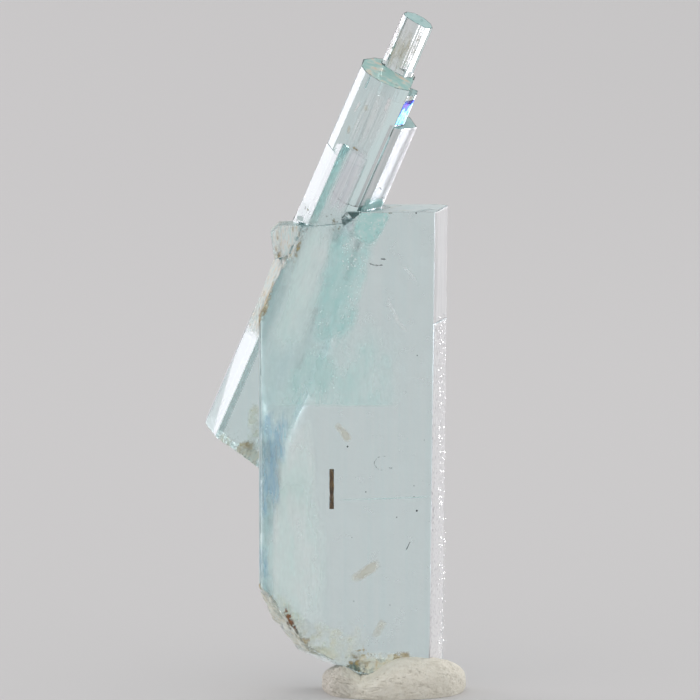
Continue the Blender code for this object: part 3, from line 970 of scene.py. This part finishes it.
# The right prism's lined face gets a painted highlight of the right lamp.
coat("right_prism_strip", in_bundle(5.16, 4.9, 1.86), strip_way, along_bundle, (2.2, 10.2), 0.09,
     highlight_strip_coat, fade_of=even_fade, least=0.9)
coat("right_prism_front", in_bundle(4.23, 4.9, 0.77), bundle_way(0.349, -0.937, 0.0),
     along_bundle, (1.1, 10.2), 0.08, painted_sheen_coat, gap=0.012, fade_of=even_fade, least=0.97)

# Painted dispersion: blue, cyan and violet on one small face stand in for light split there.
rainbow, rainbow_tree, rainbow_shader = shader_for(
    "painted_dispersion_rainbow", (0.4, 0.7, 1.0), 0.05, Transmission_Weight=1.0, IOR=1.45)
rainbow_value = noise_value(rainbow_tree, 1300.0, own="lie", stretch=(1.6, 0.5, 1.0))
rainbow_colour = colour_steps(rainbow_tree, rainbow_value, [
    (0.36, (0.10, 0.62, 0.95)), (0.45, (0.36, 0.82, 0.98)), (0.53, (0.07, 0.16, 0.92)),
    (0.64, (0.20, 0.06, 0.85)),
])
rainbow_tree.links.new(rainbow_colour, rainbow_shader.inputs["Base Color"])
RAINBOW_FACE = bundle_way(0.894, -0.447, 0.0)
coat("rainbow_face", in_bundle(4.36, 11.0, 1.46), RAINBOW_FACE, along_bundle, (1.3, 2.2), 0.06,
     rainbow, fade_of=even_fade)
# A painted highlight: a small white patch above the blue face, in the pale crust's colours.
coat("white_blob_above", in_bundle(4.2, 12.3, 1.2), RAINBOW_FACE, along_bundle, (1.3, 1.1), 0.05,
     crust_and_highlight_coat)


# ---------------------------------------------------------------------------------------
# Inclusions and marks: a brown growth tube, specks, wisps and short cracks sealed in the
# beryl, smears and healed cracks that reach its surface, and two white streaks that are
# painted highlights. All but the tube and the specks are thin ragged plates along a path.
RIBBON_STEPS = 24
RIBBON_CELLS = 4
RIBBON_THICKNESS = 0.006


def smooth_path(points, steps):
    """Points evenly along a soft curve through a few given ones."""
    if len(points) == 2:
        (x0, z0), (x1, z1) = points
        return [(x0 + (x1 - x0) * i / steps, z0 + (z1 - z0) * i / steps)
                for i in range(steps + 1)]
    made = []
    spans = len(points) - 1
    for i in range(steps + 1):
        along = i / steps * spans
        first = min(int(along), spans - 1)
        share = along - first
        around = [points[max(0, min(spans, first + k))] for k in (-1, 0, 1, 2)]
        made.append(tuple(
            0.5 * (2 * b + (c - a) * share + (2 * a - 5 * b + 4 * c - d) * share ** 2
                   + (3 * b - a - 3 * c + d) * share ** 3)
            for a, b, c, d in zip(*around)
        ))
    return made


def ribbon(name, place, points, width, depth, material):
    """A thin ragged plate along a path; `place` turns across, along and depth to a point."""
    path = smooth_path(points, RIBBON_STEPS)
    rows = []
    for j, (x, z) in enumerate(path):
        before, after = path[max(0, j - 1)], path[min(RIBBON_STEPS, j + 1)]
        run = Vector((after[0] - before[0], after[1] - before[1])).normalized()
        row = []
        for i in range(RIBBON_CELLS + 1):
            ragged = 1.0 + 0.4 * noise.noise(Vector((x * 4, z * 4, 0.5 * i)))
            aside = (i / RIBBON_CELLS - 0.5) * width * ragged
            lift = depth + 0.04 * noise.noise(Vector((x * 3, z * 3, 2.0)))
            row.append(place(x - run.y * aside, z + run.x * aside, lift))
        rows.append(row)
    sheet_from(name, rows, material, RIBBON_THICKNESS, round_fade)


CLOUDY = {"Transmission_Weight": 1.0, "IOR": 1.30}  # for marks that let light through
beige_wisp = coat_material(
    "beige_smudge", [(0.0, (0.84, 0.84, 0.77)), (1.0, (0.70, 0.66, 0.54))],
    2600.0, (0.1, 1.0), 0.60, roughness=0.6, **CLOUDY,
)
grey_wisp = coat_material(
    "grey_wisp", [(0.0, (0.60, 0.64, 0.64)), (0.5, (0.30, 0.32, 0.32)), (1.0, (0.10, 0.12, 0.12))],
    6500.0, (0.4, 1.1), 0.75,
)
dark_wisp = coat_material(
    "dark_crack", [(0.0, (0.10, 0.12, 0.12)), (1.0, (0.22, 0.26, 0.26))], 6000.0, (0.1, 0.7), 0.80,
)
teal_wisp = coat_material(
    "teal_zone", [(0.0, (0.50, 0.86, 0.84)), (1.0, (0.74, 0.93, 0.92))],
    1400.0, (0.0, 1.0), 0.70, roughness=0.35, **CLOUDY,
)
slab_ribbons = [
    # name, path of (across, up) in mm, width, depth, finish
    ("needle", [(1.26, 11.83), (0.89, 11.06)], 0.07, 0.60, dark_wisp),
    ("ring_mark", [(-0.35, 18.30), (-1.05, 18.35), (-1.50, 17.85), (-1.15, 17.35),
                   (-0.55, 17.28)], 0.07, 0.50, grey_wisp),
    ("ring_mark_inner", [(-0.55, 17.55), (-0.20, 17.45), (0.05, 17.70)], 0.10, 0.55, grey_wisp),
    ("wisp_upper", [(-1.09, 33.50), (-0.52, 33.46)], 0.18, 0.40, grey_wisp),
    ("wisp_lower", [(-2.00, 33.20), (-1.4, 33.0), (-0.74, 33.05)], 0.16, 0.45, grey_wisp),
    ("blue_spot", [(-2.50, 26.43), (-2.05, 26.43)], 0.60, 0.5, teal_wisp),
    ("healed_crack", [(-0.56, 31.0), (0.05, 29.2), (1.15, 27.6)], 0.48, -0.03, faint_coat),
    ("healed_arc", [(0.40, 33.2), (1.37, 32.3), (1.98, 31.1)], 0.22, -0.03, faint_coat),
    ("short_line", [(1.30, 24.39), (2.62, 24.42)], 0.10, -0.03, faint_coat),
    ("zone_line_low", [(-4.3, 15.05), (-1.0, 15.15), (2.8, 15.3)], 0.15, -0.045, teal_haze),
]
for name, path, width, depth, finish in slab_ribbons:
    ribbon(name, in_slab, path, width, depth, finish)

bundle_ribbons = [
    # name, path of (across, along) in mm, width, depth, finish
    ("brown_smudge", [(1.40, 10.9), (1.74, 10.4)], 0.55, -0.04, smear_coat),
    ("brown_smudge_low", [(0.95, 8.9), (1.10, 8.1)], 0.30, -0.04, smear_coat),
    ("layer_end_spot", [(1.70, 7.42), (2.10, 7.34), (2.55, 7.20)], 0.26, -0.12, ochre_coat),
    ("layer_end_arc", [(2.50, 7.40), (2.95, 7.25), (3.22, 6.95)], 0.07, 0.30, beige_wisp),
    ("crack_dash", [(2.45, 4.48), (3.05, 4.32)], 0.10, 0.30, grey_wisp),
    ("crack_arc", [(1.75, 3.55), (2.33, 3.15), (3.2, 2.95), (4.0, 3.05), (4.9, 3.80)],
     0.14, 0.30, grey_wisp),
    ("crack_arc_dark", [(1.75, 3.50), (2.33, 3.10), (3.0, 2.92)], 0.08, 0.35, dark_wisp),
    ("crack_right_high", [(4.72, 4.85), (5.20, 4.60)], 0.10, 1.40, grey_wisp),
    ("crack_right_low", [(5.05, 3.95), (5.60, 3.75)], 0.12, 2.20, grey_wisp),
    ("black_dash", [(4.10, 2.80), (4.20, 2.30)], 0.13, 0.55, dark_wisp),
    # The two white streaks below are painted highlights on the bundle's front.
    ("streak_left", [(0.98, 10.95), (0.86, 9.95)], 0.16, -0.03, painted_highlight_coat),
    ("streak_right", [(2.92, 12.2), (2.98, 10.9)], 0.34, -0.03, painted_highlight_coat),
    ("dark_spot_at_tip", [(1.25, 13.06), (1.62, 13.06)], 0.22, 3.9, dark_wisp),
]
for name, path, width, depth, finish in bundle_ribbons:
    ribbon(name, in_bundle, path, width, depth, finish)

tube_material, tube_tree, tube_shader = shader_for("tube_filling", (0.14, 0.07, 0.02), 0.5)
tube_value = noise_value(tube_tree, 3800.0, stretch=(1.0, 1.0, 0.5))
tube_tree.links.new(
    colour_steps(tube_tree, tube_value, [(0.35, (0.045, 0.02, 0.005)), (0.5, (0.17, 0.07, 0.015)),
                                         (0.7, (0.36, 0.17, 0.04))]),
    tube_shader.inputs["Base Color"],
)
TUBE_ACROSS, TUBE_BEHIND = -4.73, 1.1
TUBE_LOW, TUBE_HIGH = 14.25, 17.31
TUBE_RADIUS = 0.175
TUBE_SIDES, TUBE_STEPS = 8, 14
TUBE_WAIST = 5  # the ring that is a little thinner
bm = bmesh.new()
rings = []
for j in range(TUBE_STEPS + 1):
    height = TUBE_LOW + (TUBE_HIGH - TUBE_LOW) * j / TUBE_STEPS
    ring = []
    for i in range(TUBE_SIDES):
        turn = 2.0 * math.pi * i / TUBE_SIDES
        thick = TUBE_RADIUS * (1.0 + 0.16 * noise.noise(Vector((i * 1.7, height * 2.1, 3.0))))
        if j == TUBE_WAIST:
            thick *= 0.88
        ring.append(bm.verts.new(in_slab(
            TUBE_ACROSS + thick * math.cos(turn), height, TUBE_BEHIND + thick * math.sin(turn))))
    rings.append(ring)
for low, high in zip(rings, rings[1:]):
    for i in range(TUBE_SIDES):
        beside = (i + 1) % TUBE_SIDES
        bm.faces.new((low[i], low[beside], high[beside], high[i]))
bm.faces.new(rings[0][::-1])
bm.faces.new(rings[-1])
bmesh.ops.recalc_face_normals(bm, faces=bm.faces)
tube = object_from(bm, "growth_tube")
tube.data.materials.append(tube_material)
in_the_stone(tube)

speck_material, _, _ = shader_for("speck", (0.03, 0.035, 0.04), 0.4)
# across, up and radius in mm
specks = [(-3.53, 19.10, 0.050), (1.73, 14.17, 0.055), (0.21, 13.67, 0.030), (1.52, 16.08, 0.025),
          (1.52, 15.26, 0.030), (-2.14, 15.61, 0.035), (1.67, 37.0, 0.045), (-3.2, 12.1, 0.02),
          (-0.3, 6.9, 0.025), (-6.1, 9.4, 0.02), (2.3, 19.6, 0.02), (0.9, 23.3, 0.02),
          (-1.9, 24.2, 0.02), (1.75, 26.1, 0.03), (-3.05, 7.2, 0.025)]
bm = bmesh.new()
for x, z, radius in specks:
    made = bmesh.ops.create_icosphere(bm, subdivisions=1, radius=1.5 * radius * MM)
    centre = in_slab(x, z, 0.5)
    for vert in made["verts"]:
        vert.co *= 1.0 + 0.35 * noise.noise(vert.co / (0.03 * MM) + Vector((x, z, 0.0)))
        vert.co += centre
speck_piece = object_from(bm, "dark_specks")
speck_piece.data.materials.append(speck_material)
in_the_stone(speck_piece)


# ---------------------------------------------------------------------------------------
# Glints: small pale flakes along the healed contact with the bundle and where the faces are
# finely etched, whose white is painted glint, and mirror-like pits on the narrow right face.
# Each is a tiny bright plate lying on the crystal.
FLAKE_SIDES = 5
FLAKE_THICKNESS = 0.008
LEAST_FLAKE = 0.22  # the smallest flake, as a share of the largest
FLAKE_LIFT = 0.065  # over the slab's front, above the coats
FLAKE_TILT = 0.35
BUNDLE_FRONT = -0.42  # the front of the bundle's front layer, in its own frame


def flake_tree():
    """Scatters little tilted plates over a sheet; the sheet itself is dropped."""
    tree, given, out = node_group("flakes", [
        ("Density", "Float"), ("Radius", "Float"), ("Tilt", "Float"), ("Seed", "Int"),
        ("Finish", "Material"),
    ])
    spots = add_node(tree, "GeometryNodeDistributePointsOnFaces", {
        "Mesh": given.outputs["Geometry"], "Density": given.outputs["Density"],
        "Seed": given.outputs["Seed"],
    })
    plate = add_node(tree, "GeometryNodeMeshCylinder", {
        "Vertices": FLAKE_SIDES, "Radius": given.outputs["Radius"],
        "Depth": FLAKE_THICKNESS * MM,
    })
    turn = add_node(tree, "FunctionNodeRandomValue", {"Seed": 3}, data_type="FLOAT_VECTOR")
    turn.inputs[0].default_value = (-1.0, -1.0, -3.14)
    turn.inputs[1].default_value = (1.0, 1.0, 3.14)
    tilted = vector_maths(tree, "SCALE", turn.outputs[0], given.outputs["Tilt"])
    size = add_node(tree, "FunctionNodeRandomValue", {"Seed": 8}, data_type="FLOAT")
    size.inputs[2].default_value = LEAST_FLAKE
    size.inputs[3].default_value = 1.0
    flakes = add_node(tree, "GeometryNodeInstanceOnPoints", {
        "Points": spots.outputs["Points"], "Instance": plate.outputs["Mesh"],
        "Rotation": spots.outputs["Rotation"], "Scale": size.outputs[1],
    })
    swung = add_node(tree, "GeometryNodeRotateInstances", {
        "Instances": flakes.outputs[0], "Rotation": tilted,
    })
    return finish_tree(tree, swung.outputs[0], given, out)


def flake_finish(name, colour, roughness, scale, steps, **more):
    """A bright material whose colour varies from flake to flake."""
    material, tree, shader = shader_for(name, colour, roughness, **more)
    tint = colour_steps(tree, noise_value(tree, scale), steps)
    tree.links.new(tint, shader.inputs["Base Color"])
    return material


def glints(name, corners, density, radius, tilt, seed, finish):
    """A field of flakes over a face with the given corners, per square mm and in mm."""
    bm = bmesh.new()
    bm.faces.new([bm.verts.new(corner) for corner in corners])
    in_the_stone(grown(object_from(bm, name), flakes_grow, {
        "Density": density / MM ** 2, "Radius": radius * MM, "Tilt": tilt, "Seed": seed,
        "Finish": finish,
    }))


flakes_grow = flake_tree()
# White flakes whose bright colour is painted glint, not light reflected from them.
bright_flake = flake_finish(
    "bright_flake", (0.97, 1.0, 1.0), 0.22, 2200.0,
    [(0.35, (0.62, 0.93, 0.92)), (0.5, (0.90, 1.0, 1.0))],
)
mirror_pit = flake_finish(
    "mirror_like_pit", (0.96, 0.95, 0.98), 0.2, 2600.0,
    [(0.35, (0.86, 0.85, 0.89)), (0.55, (1.0, 0.99, 1.0))], Metallic=1.0,
)
flake_fields = [
    # name, corners (across, up) in mm on the slab's front, flakes per square mm, radius in mm
    ("contact_glints", [(-4.3, 34.9), (-2.5, 35.4), (-2.3, 33.2), (-3.9, 32.6)], 12.0, 0.085),
    ("edge_glints", [(-2.6, 33.6), (-1.75, 33.9), (-3.5, 28.4), (-4.3, 28.6)], 9.0, 0.075),
    ("top_glints", [(-3.0, 37.0), (-1.0, 37.0), (-1.1, 35.6), (-2.9, 35.4)], 5.0, 0.070),
    ("band_glints", [(-4.8, 32.0), (-3.0, 32.2), (-4.4, 26.6), (-6.8, 26.2)], 4.0, 0.060),
    ("etched_glints", [(-7.4, 27.0), (-3.7, 25.4), (-3.9, 23.2), (-8.2, 23.6)], 2.4, 0.055),
    ("side_glints", [(-9.9, 29.4), (-9.0, 30.5), (-8.9, 20.0), (-9.95, 19.6)], 4.0, 0.055),
    ("ring_glints", [(-1.75, 18.6), (0.3, 18.6), (0.3, 17.0), (-1.75, 17.0)], 2.6, 0.045),
    ("line_glints", [(-3.7, 14.9), (-1.9, 14.7), (-1.9, 14.4), (-3.7, 14.6)], 6.0, 0.040),
    ("slab_glints", [(-6.0, 24.0), (2.8, 24.0), (2.6, 3.2), (-4.0, 3.2)], 0.35, 0.035),
]
for name, corners, density, radius in flake_fields:
    glints(name, [in_slab(x, z, -FLAKE_LIFT) for x, z in corners], density, radius,
           FLAKE_TILT, len(name), bright_flake)
bundle_patch = [(1.9, 1.2), (3.3, 1.2), (3.3, 3.0), (1.9, 3.2)]
glints("bundle_glints", [in_bundle(x, z, BUNDLE_FRONT - 0.05) for x, z in bundle_patch],
       4.0, 0.075, 0.3, 31, bright_flake)
near, far = in_slab(3.36, 16.0, 0.65), in_slab(3.93, 16.0, 3.10)  # across the right face
out_of_face = Vector(RIGHT_FACE) * 0.03 * MM
tall = Vector((0.0, 0.0, 13.0)) * MM
glints("pit_glints", [spot + out_of_face for spot in (
    near - tall, far - tall, far + tall, near + tall)], 24.0, 0.060, 0.30, 23, mirror_pit)


# ---------------------------------------------------------------------------------------
# The putty: a hand-pressed pat of cream mounting putty that holds the slab's foot. Soft
# and matt, with fine pores, small folds and one lobe pressed over the other in front.
PUTTY_BOX = (-5.52, 5.32, -4.60, 4.40)  # left, right, front and back in mm
PUTTY_TALL = 3.05
PUTTY_DIP = -2.45  # where the lip dips in front
PUTTY_CUT = 0.45  # share of the height that the flat underside takes off
RIM_POWER, PLAN_POWER = 0.72, 0.88  # 1 gives a round form, less a squarer one
POCKET_GAP = 0.03  # between the foot and the putty, in mm


def squared(value, power):
    """A power that keeps the sign."""
    return math.copysign(abs(value) ** power, value)


def putty_height(x, y):
    """A lower left lobe, a dip in the front lip and a long right lobe, in mm."""
    left_lobe = 1.0 / (1.0 + math.exp((x + 3.3) / 0.30))
    in_front = 1.0 / (1.0 + math.exp((y + 0.6) / 0.35))
    reach = 1.05 if x < PUTTY_DIP else 1.90
    dip = math.exp(-(((x - PUTTY_DIP) / reach) ** 2)) * in_front
    return PUTTY_TALL * (0.84 + 0.16 * in_front - 0.10 * left_lobe - 0.50 * dip)


def putty_skin(spot, out_of):
    """How far in mm the skin is pushed in there: folds, creases and fine pores."""
    fold = math.exp(-(((spot.x + 2.9 - 0.55 * (spot.z - 1.0)) / 0.16) ** 2))
    fold *= 1.0 if out_of.y < 0.2 else 0.0
    left = 1.0 / (1.0 + math.exp((spot.x + 3.2) / 0.25))
    creases = abs(noise.noise(Vector((spot.x * 1.9, spot.y * 1.9, spot.z * 2.8)) + spot * 0.4))
    wrinkles = max(0.0, 0.16 - creases) * (0.35 + 0.6 * left)
    lumps = 0.5 * fractal(spot * 1.1, 3)
    pores = max(0.0, noise.noise(spot * 9.0) - 0.33)
    return 0.11 * fold + 0.75 * wrinkles - 0.11 * lumps + 0.34 * pores


bm = bmesh.new()
bmesh.ops.create_uvsphere(bm, u_segments=300, v_segments=150, radius=1.0)
left, right, front, back = PUTTY_BOX
for vert in bm.verts:
    around = math.atan2(vert.co.y, vert.co.x)
    swell = 1.0 + 0.03 * math.sin(3.0 * around + 0.7) + 0.012 * math.sin(7.0 * around)
    spread = squared(math.hypot(vert.co.x, vert.co.y), RIM_POWER) * swell
    x = (left + right) / 2 + (right - left) / 2 * spread * squared(math.cos(around), PLAN_POWER)
    y = (front + back) / 2 + (back - front) / 2 * spread * squared(math.sin(around), PLAN_POWER)
    level = (1.0 + squared(vert.co.z, RIM_POWER)) / 2.0
    raised = max(0.0, level * (1.0 + PUTTY_CUT) - PUTTY_CUT)
    z = putty_height(x, y) * raised
    if z > 0.0:
        z += 0.13 * raised * noise.noise(Vector((x, y, z)) / 1.3)
    spot = Vector((x, y, z))
    out_of = vert.co.copy()
    push = putty_skin(spot, out_of) * min(1.0, z / 0.25)
    spot -= out_of * push
    vert.co = Vector((spot.x, spot.y, max(0.0, spot.z))) * MM
bmesh.ops.recalc_face_normals(bm, faces=bm.faces)
putty = object_from(bm, "putty_pat")
foot = column("foot_pocket", slab_outline(POCKET_GAP), SLAB_FOOT - POCKET_GAP, 6.0, 41.0,
              depth=0.0)
lean_slab(foot.data)
joined(foot, [("DIFFERENCE", cut) for cut in lower_breaks(POCKET_GAP)])
joined(putty, [("DIFFERENCE", foot)])
putty.data.materials.clear()


def putty_material():
    """Cream clay: matt, a little mottled, with fine pores, and the left lobe darkened as painted
    shade.
    """
    material, tree, shader = shader_for("cream_putty", (0.80, 0.76, 0.66), 0.75)
    mottle = noise_value(tree, 1500.0, detail=8.0, roughness=0.75)
    clay = colour_steps(tree, mottle, [(0.30, (0.80, 0.75, 0.63)), (0.5, (0.96, 0.915, 0.80)),
                                       (0.7, (1.0, 0.97, 0.87))])
    place = add_node(tree, "ShaderNodeTexCoord").outputs["Object"]
    across = add_node(tree, "ShaderNodeSeparateXYZ", {0: place}).outputs["X"]
    # Painted shade: the clay's colour is darker over the left lobe.
    left_lobe_shade = between(tree, across, -3.9 * MM, -2.6 * MM, low=0.80)
    greyed = vector_maths(tree, "SCALE", clay, left_lobe_shade)
    tree.links.new(greyed, shader.inputs["Base Color"])
    grain = noise_value(tree, 4200.0, detail=6.0, roughness=0.8)
    bump = add_node(tree, "ShaderNodeBump", {
        "Height": grain, "Strength": 1.0, "Distance": 0.14 * MM,
    })
    tree.links.new(bump.outputs[0], shader.inputs["Normal"])
    return material


putty.data.materials.append(putty_material())
putty.data.polygons.foreach_set("material_index", [0] * len(putty.data.polygons))
putty.data.polygons.foreach_set("use_smooth", [True] * len(putty.data.polygons))
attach(putty, "root")
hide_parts("display_putty")


# ---------------------------------------------------------------------------------------
# The table: a wide pale sheet that the specimen stands on, plain and matt. It runs on far
# enough behind the specimen to fill the view.
TABLE_RADIUS = 4.0  # metres
sheet_finish, _, _ = shader_for("studio_sheet", (0.568, 0.560, 0.560), 0.6)
bpy.ops.mesh.primitive_circle_add(vertices=96, radius=TABLE_RADIUS, fill_type="NGON")
floor = bpy.context.object
floor.name = "studio_floor"
floor.data.materials.append(sheet_finish)
floor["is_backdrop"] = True


# ---------------------------------------------------------------------------------------
# The light: a wide soft box on the left and a narrow one on the right, both a little
# behind the specimen, in an even grey room that is brighter overhead.
BOX_AWAY, BOX_HEIGHT = 0.8, 0.17  # metres


def soft_box(name, azimuth, size, power, aim, spread=180.0, tint=(1.0, 1.0, 1.0)):
    """A lamp in the shape of a box, at an angle from straight behind, aimed at a point."""
    angle = math.radians(azimuth)
    place = (BOX_AWAY * math.sin(angle), BOX_AWAY * math.cos(angle), BOX_HEIGHT)
    light = bpy.data.lights.new(name, "AREA")
    light.shape = "RECTANGLE"
    light.size, light.size_y = size
    light.energy = power
    light.color = tint
    light.spread = math.radians(spread)
    lamp = bpy.data.objects.new(name, light)
    lamp.location = place
    lamp.rotation_euler = (Vector(aim) - Vector(place)).to_track_quat("-Z", "Y").to_euler()
    lamp.visible_camera = False
    bpy.context.scene.collection.objects.link(lamp)
    lamp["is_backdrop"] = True


soft_box("left_box", -55.0, (0.56, 0.34), 2.4, (0.0, 0.0, 0.17), tint=(1.0, 0.90, 0.98))
soft_box("right_box", 42.0, (0.22, 0.34), 0.16, (0.0, 0.0, 0.03), spread=50.0)
world = bpy.data.worlds.new("grey_room")
world.use_nodes = True
room = world.node_tree
toward = add_node(room, "ShaderNodeTexCoord").outputs["Generated"]
ways = add_node(room, "ShaderNodeSeparateXYZ", {0: toward}).outputs
shade = between(room, ways["Y"], -0.5, 0.8, low=0.72, high=0.68)
overhead = between(room, ways["Z"], 0.45, 0.95, low=1.0, high=1.5)
lit = maths(room, "MULTIPLY", shade, overhead)
room.links.new(lit, room.nodes["Background"].inputs["Color"])
bpy.context.scene.world = world
bpy.context.scene.view_settings.view_transform = "Standard"


# ---------------------------------------------------------------------------------------
# The camera: a long lens some way off, looking slightly down on the specimen's middle, so
# that its upright edges stay parallel.
FRAME_HALF = 0.0266  # half of the width that the lens takes in at the specimen, in metres
CAMERA_RISE = math.radians(7.0)
CAMERA_AWAY = 0.9
CAMERA_AIM = Vector((-0.00334, 0.0, 0.0262))
lens = bpy.data.cameras.new("view")
lens.sensor_fit = "HORIZONTAL"
lens.angle = 2.0 * math.atan(FRAME_HALF / CAMERA_AWAY)
lens.clip_start = 0.05
camera = bpy.data.objects.new("view", lens)
back = Vector((0.0, -math.cos(CAMERA_RISE), math.sin(CAMERA_RISE)))
camera.location = CAMERA_AIM + back * CAMERA_AWAY
camera.rotation_euler = (-back).to_track_quat("-Z", "Y").to_euler()
bpy.context.scene.collection.objects.link(camera)
bpy.context.scene.camera = camera

low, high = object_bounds()
